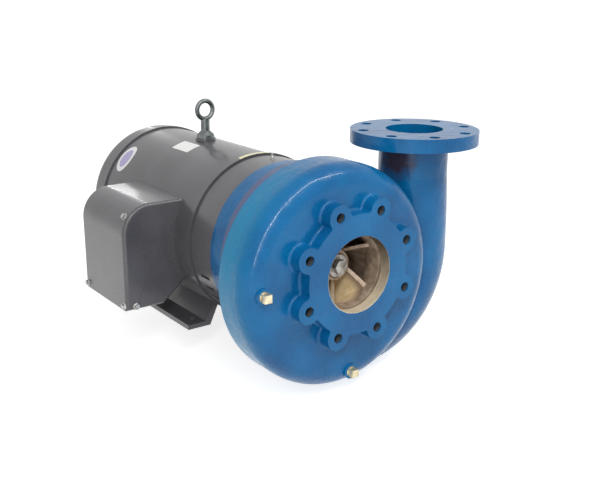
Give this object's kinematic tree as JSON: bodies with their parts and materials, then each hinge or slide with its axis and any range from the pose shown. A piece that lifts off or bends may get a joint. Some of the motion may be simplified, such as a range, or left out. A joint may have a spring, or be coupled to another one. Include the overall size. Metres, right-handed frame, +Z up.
{
  "type": "close-coupled centrifugal pump",
  "caption": "Close-coupled end-suction centrifugal pump: a blue volute with a flanged upward discharge, bolted by a bracket to a grey foot-mounted electric motor.",
  "frame": {"origin": "centre of the four foot bolt holes, in the plane of the feet's undersides", "axes": "+Z up; +Y along the shaft from the suction face to the motor's rear; +X towards the discharge nozzle's side"},
  "size_m": [0.5843, 0.7, 0.4497],
  "materials": {
    "volute_casing": "blue enamel over rough cast iron",
    "bracket": "blue enamel over rough cast iron",
    "wear_ring": "turned bronze",
    "impeller": "cast bronze",
    "impeller_washer": "turned stainless steel",
    "impeller_screw": "stainless steel",
    "shaft": "ground steel",
    "shaft_sleeve": "turned bronze",
    "casing_gasket": "compressed fibre sheet",
    "drive_end_shield": "dark grey satin enamel",
    "motor_frame": "dark grey satin enamel",
    "rear_end_shield": "dark grey satin enamel",
    "stator_core": "stacked steel laminations",
    "stator_windings": "varnished copper coils",
    "rotor_core": "steel laminations with cast aluminium ends",
    "front_bearing": "ground steel",
    "rear_bearing": "ground steel",
    "motor_feet": "dark grey satin enamel",
    "conduit_box_base": "dark grey satin enamel",
    "conduit_box_cover": "dark grey satin enamel",
    "lifting_pad": "dark grey satin enamel",
    "eye_bolt": "forged steel",
    "side_plug": "bright brass",
    "drain_plug": "bright brass",
    "grease_fitting": "plated steel"
  },
  "bodies": {
    "pump_and_motor": {"volute_casing": "volute_casing", "bracket": "bracket", "wear_ring": "wear_ring", "casing_gasket": "casing_gasket", "drive_end_shield": "drive_end_shield", "motor_frame": "motor_frame", "rear_end_shield": "rear_end_shield", "stator_core": "stator_core", "stator_windings": "stator_windings", "front_bearing": "front_bearing", "rear_bearing": "rear_bearing", "motor_feet": "motor_feet", "conduit_box_base": "conduit_box_base", "conduit_box_cover": "conduit_box_cover", "lifting_pad": "lifting_pad", "eye_bolt": "eye_bolt", "side_plug": "side_plug", "drain_plug": "drain_plug", "grease_fitting": "grease_fitting"},
    "rotor": {"impeller": "impeller", "impeller_washer": "impeller_washer", "impeller_screw": "impeller_screw", "shaft": "shaft", "shaft_sleeve": "shaft_sleeve", "rotor_core": "rotor_core"}
  },
  "joints": [
    {"name": "shaft_spin", "type": "hinge", "parent": "pump_and_motor", "child": "rotor", "pos_m": [0, 0, 0.15875], "axis": [0, 1, 0], "continuous": true}
  ]
}
